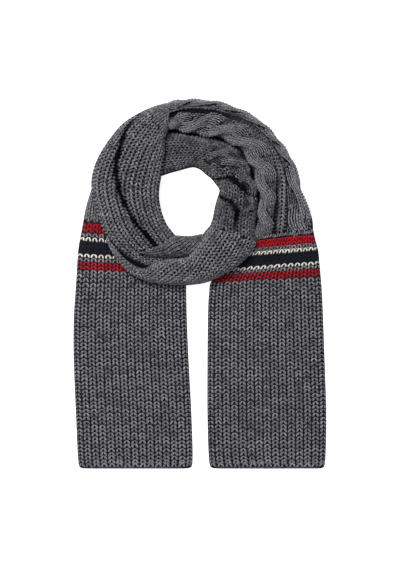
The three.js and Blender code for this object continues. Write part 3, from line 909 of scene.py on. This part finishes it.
# %% [markdown]
# ## Laying yarn on the cloth
#
# A column of stitches is called a wale. A wale is a path over a stretch: its share across at each
# place along. Stitches sit on it at even distances, and each point of the small stitch mesh is
# carried to the surface, so the stitches bend, narrow and lean with the cloth. Geometry Nodes
# could scatter whole copies, but a copy that isn't bent would leave gaps in the folds. No two
# stitches are alike, so each leans and swells a little by chance, from a fixed seed.

# %% Places along a wale
PATH_STEPS = 600
SLANT_STEP = 0.05
STEEPEST = 0.85


def stations_on(stretch, path, start, end, pitch, offset):
    """Places at even distances along a path over a stretch, and millimetres in one section."""
    fine = np.linspace(start, end, PATH_STEPS)
    spots, _ = stretch.spot(fine, path(fine))
    run = run_along(spots)
    where = np.arange(pitch * offset, run[-1], pitch)
    places = np.interp(where, run, fine)
    return places, np.interp(places, fine, np.gradient(run, fine))


def wale_slant(stretch, path, places, per_section):
    """Sine and cosine of the angle between a wale and the stretch that it crosses."""
    sideways = (path(places + SLANT_STEP) - path(places - SLANT_STEP)) / (2 * SLANT_STEP)
    sine = np.clip(sideways * stretch.arch_at(places) / per_section, -STEEPEST, STEEPEST)
    return sine, np.sqrt(1 - sine**2)


# %% Lay stitches along a wale
chance = np.random.default_rng(11)
LEAN = 0.07
SWELL = 0.06
FIXED_HEIGHT = 0.3
HEIGHT_LIMITS = (0.4, 1.1)
FLOOR_LEVEL = 0.4
# The next four numbers paint shade on the stitches in creases and along edge folds: how far its narrow and
# wide parts reach, how much of the wide part a crease gets, and how dark it gets.
FOLD_REACH = 3.1
EDGE_REACH = 9.0
WIDE_SHARE = 0.15
FOLD_PAINTED_SHADE = 1.8
STITCH_VARIETY = 0.09


def lay(stretch, shape, path, places, per_section, across, lift):
    """Copies of a small mesh along a wale, square to it, as points in millimetres."""
    count = len(places)
    across = np.broadcast_to(np.asarray(across, float), places.shape)[:, None]
    across = across * (1 + chance.normal(0, SWELL, (count, 1)))
    tall = np.clip(FIXED_HEIGHT + (1 - FIXED_HEIGHT) * across, *HEIGHT_LIMITS)
    lean = chance.normal(0, LEAN, (count, 1))
    sine, cosine = (part[:, None] for part in wale_slant(stretch, path, places, per_section))
    x, y, z = shape["points"].T
    sideways = x[None, :] * across + y[None, :] * lean
    on_wale = places[:, None] + y[None, :] / per_section[:, None]
    place = on_wale - sideways * sine / (per_section[:, None] * cosine)
    arch = stretch.arch_at(place)
    share = path(on_wale) + sideways * cosine / arch
    spots, normals = stretch.spot(place, share)
    height = z[None, :] * tall + (lift(place) if callable(lift) else lift)
    points = spots + normals * height[..., None]
    past_low = np.minimum(0, share) * arch
    past_high = np.maximum(0, share - 1) * arch
    points[..., 2] += past_low - past_high
    points[..., 2] = np.maximum(points[..., 2], FLOOR_LEVEL)
    return points, painted_shade_in_folds(stretch, place, share, arch)


def painted_shade_in_folds(stretch, place, share, arch):
    """How deep points sit in the folds of a stretch, from 0 outside them to about 1: the amount of painted
    shade that they get.
    """
    depth = np.zeros(place.shape)
    for crease in stretch.creases:
        deepest, offset = crease_at(crease, place, share, arch)
        runs_on_edge = np.ptp(crease["across"]) == 0
        narrow = np.minimum(1, 2 * np.exp(-((offset / FOLD_REACH) ** 2)))
        wide = np.exp(-((offset / EDGE_REACH) ** 2)) * (1.0 if runs_on_edge else WIDE_SHARE)
        depth = np.maximum(depth, deepest / CREASE_FULL * np.maximum(narrow, wide))
    return depth


def knit(yarn, stretch, shape, path, places, per_section, across, lift, shown=True, shade=0.0):
    """Lays stitches along a wale, but none under another stretch, and with painted shade in a fold."""
    spots, _ = stretch.spot(places, path(places))
    keep = np.ones(len(places), dtype=bool) & shown
    for outline in stretch.covers:
        keep &= ~inside_outline(spots[:, 0], spots[:, 1], outline)
    points, fold = lay(stretch, shape, path, places, per_section, across, lift)
    # Each stitch's shade is its random tone plus painted light and shade: the shade given here, the
    # stretch's own, and the painted shade of the folds.
    stitch_shade = np.broadcast_to(shade, places.shape)
    stitch_shade = stitch_shade + chance.normal(stretch.shade, STITCH_VARIETY, len(places))
    shades = stitch_shade[:, None] - FOLD_PAINTED_SHADE * fold
    yarn.add(shape["turned"] if stretch.mirrored else shape, points[keep], shades[keep])


# %% Join laid stitches into one mesh
STRAND_SLIDE = 30


class Yarn:
    """Collects laid stitches and joins them into one mesh."""

    def __init__(self, name, colour="grey"):
        self.name = name
        self.colour = colour
        self.batches = []

    def add(self, shape, points, shades):
        if len(points):
            self.batches.append((shape, points, shades))

    def joined(self):
        """Points, shades, face corners, face sizes and strand map of all the stitches in a row."""
        rows = []
        start = 0
        for shape, points, shades in self.batches:
            copies, size = points.shape[:2]
            corners = shape["corners"][None, :] + (start + np.arange(copies) * size)[:, None]
            sizes = np.tile(shape["sizes"], copies)
            slide = chance.uniform(0, STRAND_SLIDE, (copies, 1)) * [1, 0]
            strand_map = np.tile(shape["strand"], (copies, 1)) + np.repeat(slide, corners.shape[1], axis=0)
            rows.append((points.reshape(-1, 3), shades.reshape(-1), corners.reshape(-1), sizes, strand_map))
            start += copies * size
        return [np.concatenate(parts) for parts in zip(*rows)]

    def finish(self):
        """Makes the mesh and its object, or nothing where no stitch was laid."""
        if not self.batches:
            return None
        points, shades, corners, sizes, strand_map = self.joined()
        mesh = bpy.data.meshes.new(self.name)
        mesh.vertices.add(len(points))
        mesh.vertices.foreach_set("co", (points * MM).reshape(-1))
        mesh.loops.add(len(corners))
        mesh.loops.foreach_set("vertex_index", corners.astype(np.int32))
        mesh.polygons.add(len(sizes))
        mesh.polygons.foreach_set("loop_start", (np.cumsum(sizes) - sizes).astype(np.int32))
        mesh.polygons.foreach_set("use_smooth", np.ones(len(sizes), dtype=bool))
        mesh.update(calc_edges=True)
        mesh.uv_layers.new(name="strand").data.foreach_set("uv", strand_map.reshape(-1))
        # The shade attribute holds each point's random tone together with its painted light and shade.
        mesh.attributes.new("shade", "FLOAT", "POINT").data.foreach_set("value", shades)
        mesh.materials.append(YARN[self.colour])
        piece = bpy.data.objects.new(self.name, mesh)
        bpy.context.collection.objects.link(piece)
        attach(piece, "root")
        print(self.name, int((sizes - 2).sum()), "triangles")
        return piece


# %% [markdown]
# ## Ribs
#
# On a ribbed stretch the wales are evenly shared out across it. The gap between two ribs isn't
# empty: a short bar of yarn crosses it in every row, deep down. Where a cable lane crosses the
# stretch, the ribs stop at its edge. An Array modifier could repeat a stitch along one straight
# rib, but these ribs run out, slide and squeeze together, so each stitch is laid by its own place.

# %% Room for the lanes


def lane_at(lane, place):
    """The low and high edge of a lane, as shares of the ring."""
    rows = named_columns(lane, LANE)
    return tuple(np.interp(place, rows["section"], rows[side]) for side in ("low", "high"))


def outside_lanes(lanes, place, share):
    free = np.ones(len(place), dtype=bool)
    for lane in lanes:
        low, high = lane_at(lane, place)
        within = (place > lane[0][0]) & (place < lane[-1][0])
        free &= ~(within & (share > low) & (share < high))
    return free


# %% Ribs on a stretch
RIB_LIFT = -3.2
RIB_WIDTHS = (0.3, 1.15)
BAR_LIFT = -3.9
# The bars deep in the gaps are painted a little darker, as painted shade between the ribs.
BAR_PAINTED_SHADE = -0.06
ROW_STARTS = (0.1, 0.9)
FEWEST_RIBS = 0.5
PAST_OUTER_EDGE = 0.2
INNER_EDGE_ROOM = 0.35
FIRST_RIB_PAST = 0.7
LAST_RIB_ROOM = 0.4
LAST_BAR_ROOM = 1.1


def rib_path(stretch, count):
    """The share of a wale counted from the outer edge, kept a little inside both edges."""

    def path(place):
        ribs = np.maximum(stretch.at("ribs", place), FEWEST_RIBS)
        return np.clip(count + stretch.slid(place), -PAST_OUTER_EDGE, ribs - INNER_EDGE_ROOM) / ribs

    return path


def ribbed(stretch, yarn, lanes=(), start=0.0):
    """Rib wales with a bar in every gap, from a place on a stretch to its end."""
    most = stretch.values["ribs"] - stretch.slid(np.arange(stretch.last + 1))
    for k in range(int(math.ceil(most.max()))):
        path = rib_path(stretch, k + 0.5)
        gap_path = rib_path(stretch, k + 1.0)
        offset = chance.uniform(*ROW_STARTS)
        places, per_section = stations_on(stretch, path, start, stretch.last, ROW_PITCH, offset)
        ribs = stretch.at("ribs", places)
        straight = wale_slant(stretch, path, places, per_section)[1]
        across = np.clip(stretch.arch_at(places) / ribs * straight / RIB_PITCH, *RIB_WIDTHS)
        position = k + stretch.slid(places)
        shown = (position + LAST_RIB_ROOM < ribs) & (position > -FIRST_RIB_PAST)
        shown &= outside_lanes(lanes, places, path(places))
        knit(yarn, stretch, rib_stitch, path, places, per_section, across, RIB_LIFT, shown)
        shown &= position + LAST_BAR_ROOM < ribs
        bars = places + 0.5 * ROW_PITCH / per_section
        knit(yarn, stretch, gap_bar, gap_path, bars, per_section, across, BAR_LIFT, shown, BAR_PAINTED_SHADE)


# %% Fine knitting on a stretch
FINE_LIFT = -1.9
FINE_WIDTHS = (0.4, 1.25)
FINE_EDGE_ROOM = 0.3


def fine_stations(stretch, path, start, end):
    return stations_on(stretch, path, start, end, FINE_ROW, chance.uniform(*ROW_STARTS))


def fine_wales(stretch, yarn, count, start=0.0, end=None, lift=FINE_LIFT):
    """Plain knitting: fine wales side by side over a whole stretch."""
    end = stretch.last if end is None else end
    for k in range(-int(math.ceil(stretch.slide["ribs_slid"].max())), count):

        def path(place, k=k):
            wale = np.clip(k + 0.5 + stretch.slid(place), FINE_EDGE_ROOM, count - FINE_EDGE_ROOM)
            return wale / count

        places, per_section = fine_stations(stretch, path, start, end)
        straight = wale_slant(stretch, path, places, per_section)[1]
        across = np.clip(stretch.arch_at(places) / count * straight / FINE_PITCH, *FINE_WIDTHS)
        position = k + 0.5 + stretch.slid(places)
        shown = (position > 0) & (position < count)
        knit(yarn, stretch, fine_stitch, path, places, per_section, across, lift, shown)


# %% [markdown]
# ## Cables
#
# A rope cable is two strands of plain knitting that keep crossing the same way: each strand goes
# over the other from left to right, and comes back underneath. A strand is a few fine wales side
# by side over a rounded back. The stitches of the strand that is underneath don't show, so they
# are left out. A twisted tube would show the rope but not the stitches, so the strands are laid
# with the same stitches as plain knitting, on paths that sway and rise.

# %% How the two strands cross
ROPE_DOME = 1.9
DOME_FALL = 1.6
STRAND_SHARE = 0.56
STRAND_COVER = 0.42
TOP_NARROWING = 0.15
SWAY_EASE = 0.8
UNDER_LIMIT = -0.8


def lane_ends(stretch, lane):
    return max(0.0, lane[0][0]), min(stretch.last, lane[-1][0])


def crossings_by_table(stretch):
    return lambda place: stretch.at("turns", place)


def crossings_by_length(stretch, lane, distance, phase):
    """Counts crossings by the distance along the middle of a lane."""
    fine = np.linspace(0, stretch.last, PATH_STEPS)
    low, high = lane_at(lane, fine)
    spots, _ = stretch.spot(fine, (low + high) / 2)
    run = run_along(spots)
    return lambda place: phase + np.interp(place, fine, run) / distance


def over_under(turns, which, place):
    """From 1 where a strand is on top to -1 where it is underneath."""
    return np.cos(np.pi * (turns(place) + which))


def strand_middle(lane, turns, which, place):
    low, high = lane_at(lane, place)
    sway = np.sin(np.pi * (turns(place) + which))
    eased = np.sign(sway) * np.abs(sway) ** SWAY_EASE
    return low + (high - low) * (0.5 + (0.5 - STRAND_SHARE / 2) * eased)


# %% A cable in a lane
# Painted light and shade on the cables: the strands are painted lighter, darker where a strand goes under
# the other and towards its edges, and the low ground beside them is painted darker.
ROPE_PAINTED_LIGHT = 0.2
UNDER_STRAND_PAINTED_SHADE = 0.35
UNDER_FROM = 0.2
STRAND_SIDE_PAINTED_SHADE = 0.22
GROUND_LIFT = -4.0
END_EASE = 1.5


def cable(stretch, yarn, lane, turns, wales, rise):
    """Two strands of fine wales that cross over each other in a lane."""
    start, end = lane_ends(stretch, lane)
    for which in (0, 1):
        for j in range(wales):
            offset = (j + 0.5) / wales - 0.5

            def path(place, which=which, offset=offset):
                low, high = lane_at(lane, place)
                narrowing = 1 - TOP_NARROWING * np.maximum(0, over_under(turns, which, place))
                width = (high - low) * STRAND_SHARE * narrowing
                return strand_middle(lane, turns, which, place) + offset * width

            def lift(place, which=which, offset=offset):
                ease_out = smooth((stretch.last - place) / END_EASE)
                dome = ROPE_DOME * (1 - DOME_FALL * (2 * offset) ** 2)
                return FINE_LIFT + (rise * over_under(turns, which, place) + dome) * ease_out

            places, per_section = fine_stations(stretch, path, start, end)
            low, high = lane_at(lane, places)
            straight = wale_slant(stretch, path, places, per_section)[1]
            room = (high - low) * STRAND_SHARE * stretch.arch_at(places) * straight / wales
            across = np.clip(room / ROPE_PITCH, *FINE_WIDTHS)
            over = over_under(turns, which, places)
            # Painted light on the strand, painted shade where it goes under and at its edges.
            shade = ROPE_PAINTED_LIGHT - UNDER_STRAND_PAINTED_SHADE * np.maximum(0, UNDER_FROM - over)
            shade = shade - STRAND_SIDE_PAINTED_SHADE * (2 * offset) ** 4
            shown = over > UNDER_LIMIT
            knit(yarn, stretch, rope_stitch, path, places, per_section, across, lift, shown, shade)


def cable_ground(stretch, yarn, lane, turns, wales):
    """Low plain knitting in the parts of a lane that no strand covers."""
    start, end = lane_ends(stretch, lane)
    for k in range(wales):

        def path(place, k=k):
            low, high = lane_at(lane, place)
            return low + (high - low) * (k + 0.5) / wales

        places, per_section = fine_stations(stretch, path, start, end)
        low, high = lane_at(lane, places)
        bare = np.ones(len(places), dtype=bool)
        for which in (0, 1):
            reach = np.abs(path(places) - strand_middle(lane, turns, which, places))
            on_show = over_under(turns, which, places) > UNDER_LIMIT
            bare &= ~(on_show & (reach < (high - low) * STRAND_SHARE * STRAND_COVER))
        across = np.clip((high - low) * stretch.arch_at(places) / wales / ROPE_PITCH, *FINE_WIDTHS)
        # The ground is painted darker, for the shade beside the strands.
        knit(yarn, stretch, rope_stitch, path, places, per_section, across, GROUND_LIFT, bare, -STRAND_SIDE_PAINTED_SHADE)


# %% A ladder of ribs between two lanes
BAR_SPAN = 9.5
LADDER_WIDTH = 0.75
LADDER_WIDTHS = (0.3, 1.0)
NARROWEST_ROOM = 3.5


def ladder(stretch, yarn, left_lane, right_lane):
    """One rib with its rungs in the room between two cables, as narrow as the room."""

    def path(place):
        return (lane_at(left_lane, place)[1] + lane_at(right_lane, place)[0]) / 2

    places, per_section = stations_on(stretch, path, 0, stretch.last, ROW_PITCH, 0.5)
    room = (lane_at(right_lane, places)[0] - lane_at(left_lane, places)[1]) * stretch.arch_at(places)
    across = np.clip(room / RIB_PITCH * LADDER_WIDTH, *LADDER_WIDTHS)
    shown = room > NARROWEST_ROOM
    knit(yarn, stretch, rib_stitch, path, places, per_section, across, RIB_LIFT, shown)
    bars = places + 0.5 * ROW_PITCH / per_section
    knit(yarn, stretch, gap_bar, path, bars, per_section, room / BAR_SPAN, BAR_LIFT, shown)


# %% [markdown]
# ## The two tails
#
# The tails are plain rib from hem to stripes, with every row straight across. A stripe is knitted
# and not printed, so its colour changes at the edge of a stitch: here whole rows, counted from the
# hem, go to a mesh of their own colour. A colour ramp over the cloth would cut through stitches.
# Above the stripes the panel changes to fine plain knitting. The band here is an even one: red,
# grey, ivory, navy and back again.

# %% The cast-on edge
HEM_PLACE = 0.02
HEM_SECTION = 12.0
LOOP_WIDTH = 0.9
LOOP_LIFT = -2.4
# The hem loops are painted a little darker, for the shade at the edge.
LOOP_PAINTED_SHADE = -0.05


def cast_on(stretch, yarn, loops):
    """The cast-on edge: a row of loops that lie along the hem."""
    place = np.array([HEM_PLACE])
    per_section = np.array([HEM_SECTION])
    for k in range(loops):

        def path(place, k=k):
            return np.full(np.shape(place), (k + 0.5) / loops)

        knit(yarn, stretch, gap_bar, path, place, per_section, LOOP_WIDTH, LOOP_LIFT, True, LOOP_PAINTED_SHADE)


# %% Rows of the tails
BAND = ["red", "red", "grey", "ivory", "navy", "navy", "navy", "ivory", "grey", "red", "red"]
FIRST_ROW = 0.62
HEM_LEAN_REACH = 1.6
ROW_WANDER = 0.3
TAIL_FINE_LIFT = -2.2


def tail(stretch, band_start, lean):
    """Ribs with a band of coloured rows, and fine knitting above the band."""
    yarns = {colour: Yarn(f"{stretch.node}_{colour}_stitches", colour) for colour in YARN}
    ribs = int(stretch.values["ribs"].max())
    middle = rib_path(stretch, ribs / 2)
    row_places, per_section = stations_on(stretch, middle, 0, stretch.last, ROW_PITCH, FIRST_ROW)
    band_end = band_start + len(BAND)
    rows = np.arange(len(row_places))
    colours = np.array(["grey"] * band_start + BAND + ["grey"] * (len(rows) - band_end))
    for k in range(ribs):

        def path(place, k=k):
            bend = lean * np.sin(np.pi * (k + 0.5) / ribs) * smooth(1 - place / HEM_LEAN_REACH)
            return (k + 0.5 + bend) / ribs

        def gap_path(place, path=path):
            return path(place) + 0.5 / ribs

        places = row_places + chance.normal(0, ROW_WANDER, len(rows)) / per_section
        across = np.clip(stretch.arch_at(places) / ribs / RIB_PITCH, *RIB_WIDTHS)
        bars = places + 0.5 * ROW_PITCH / per_section
        for colour, yarn in yarns.items():
            shown = (rows < band_end) & (colours == colour)
            knit(yarn, stretch, rib_stitch, path, places, per_section, across, RIB_LIFT, shown)
            shown &= k < ribs - 1
            knit(yarn, stretch, gap_bar, gap_path, bars, per_section, across, BAR_LIFT, shown, BAR_PAINTED_SHADE)
    fine_wales(stretch, yarns["grey"], ribs * 2, row_places[band_end], lift=TAIL_FINE_LIFT)
    cast_on(stretch, yarns["grey"], ribs * 2)
    return [piece for piece in (yarn.finish() for yarn in yarns.values()) if piece]


# %% Knit the tails
LAP = 9
SMALL_LAP = 8
# The hollow between the front and the left turn, where no stitch of the tail shows.
HOLLOW = [(-140, 52), (-114, 24), (-70, 20), (-58, 44), (-100, 58)]

front_over = front_turn.outline(LAP)
left_over = left_turn.outline(LAP)
left_tail.covers = [front_over, left_over, np.array(HOLLOW, float)]
right_tail.covers = [front_over, inner_turn.outline(SMALL_LAP)]
left_stitches = tail(left_tail, band_start=50, lean=0.0)
right_stitches = tail(right_tail, band_start=48, lean=-0.35)

# %% [markdown]
# ## The turns
#
# The left turn and the front are the ribbed part of the panel. The outer turn shows its cables:
# one at the edge, one inside, with a ladder of rib between them. On the inner turn the cable
# comes out of a fold at the right and sinks away under the ribs at the top. The tongue is the
# back of a cable strand, pulled long, so its wales are fine and close, and lean across it.

# %% Ribbed turns
LEFT_PLAIN_START = -0.4
LEFT_PLAIN_END = 1.3
LEFT_PLAIN_WALES = 18
SMALLEST_LAP = 4

left_turn.covers = [front_over, tongue.outline(SMALL_LAP)]
under_turn.covers = [left_turn.outline(SMALLEST_LAP)]
inner_turn.covers = [left_over]
outer_turn.covers = [left_over]
tongue.covers = [front_over]


def ribbed_turn(stretch, lanes=(), start=0.0):
    yarn = Yarn(stretch.node + "_stitches")
    ribbed(stretch, yarn, lanes, start)
    print(yarn.name, sum(len(points) for _, points, _ in yarn.batches), "laid")
    return yarn


left_yarn = ribbed_turn(left_turn, start=LEFT_PLAIN_END)
fine_wales(left_turn, left_yarn, LEFT_PLAIN_WALES, LEFT_PLAIN_START, LEFT_PLAIN_END)
front_yarn = ribbed_turn(front_turn)
under_yarn = ribbed_turn(under_turn)

# %% Inner turn, with its cable in the folds
inner_yarn = ribbed_turn(inner_turn, [INNER_LANE])
inner_crossings = crossings_by_length(inner_turn, INNER_LANE, distance=40, phase=0.3)
cable(inner_turn, inner_yarn, INNER_LANE, inner_crossings, wales=3, rise=2.6)
cable_ground(inner_turn, inner_yarn, INNER_LANE, inner_crossings, wales=5)

# %% Cabled outer turn
outer_yarn = Yarn("outer_turn_stitches")
ground_yarn = Yarn("outer_turn_ground_stitches")
edge_crossings = crossings_by_table(outer_turn)
main_crossings = crossings_by_length(outer_turn, MAIN_LANE, distance=46, phase=0.2)
cable(outer_turn, outer_yarn, EDGE_LANE, edge_crossings, wales=3, rise=2.6)
cable(outer_turn, outer_yarn, MAIN_LANE, main_crossings, wales=4, rise=4.0)
cable_ground(outer_turn, ground_yarn, EDGE_LANE, edge_crossings, wales=5)
cable_ground(outer_turn, ground_yarn, MAIN_LANE, main_crossings, wales=8)
ladder(outer_turn, outer_yarn, EDGE_LANE, MAIN_LANE)

# %% Tongue of fine wales
TONGUE_WALES = 12
tongue_yarn = Yarn("tongue_stitches")
fine_wales(tongue, tongue_yarn, TONGUE_WALES)

# %% [markdown]
# ## Dressing the stretches
#
# Last, each stretch gets its cloth: a tail is one layer of the panel, and a turn is the panel rolled
# all round. The stitches belong to the cloth that they are knitted in, so they are named with it.

# %% Cloth of the tails
for stretch, stitches in ((left_tail, left_stitches), (right_tail, right_stitches)):
    cloth = make_cloth(stretch, False)

# %% Cloth of the turns
for stretch, yarns, lies_on in (
    (outer_turn, [outer_yarn, ground_yarn], ["right_tail_cloth"]),
    (under_turn, [under_yarn], ["left_tail_cloth"]),
    (inner_turn, [inner_yarn], ["right_tail_cloth", "under_turn_cloth"]),
    (left_turn, [left_yarn], ["under_turn_cloth", "left_tail_cloth"]),
    (tongue, [tongue_yarn], ["left_turn_cloth"]),
    (front_turn, [front_yarn], ["left_tail_cloth", "right_tail_cloth", "tongue_cloth"]),
):
    cloth = make_cloth(stretch, True)
    stitches = [yarn.finish() for yarn in yarns]
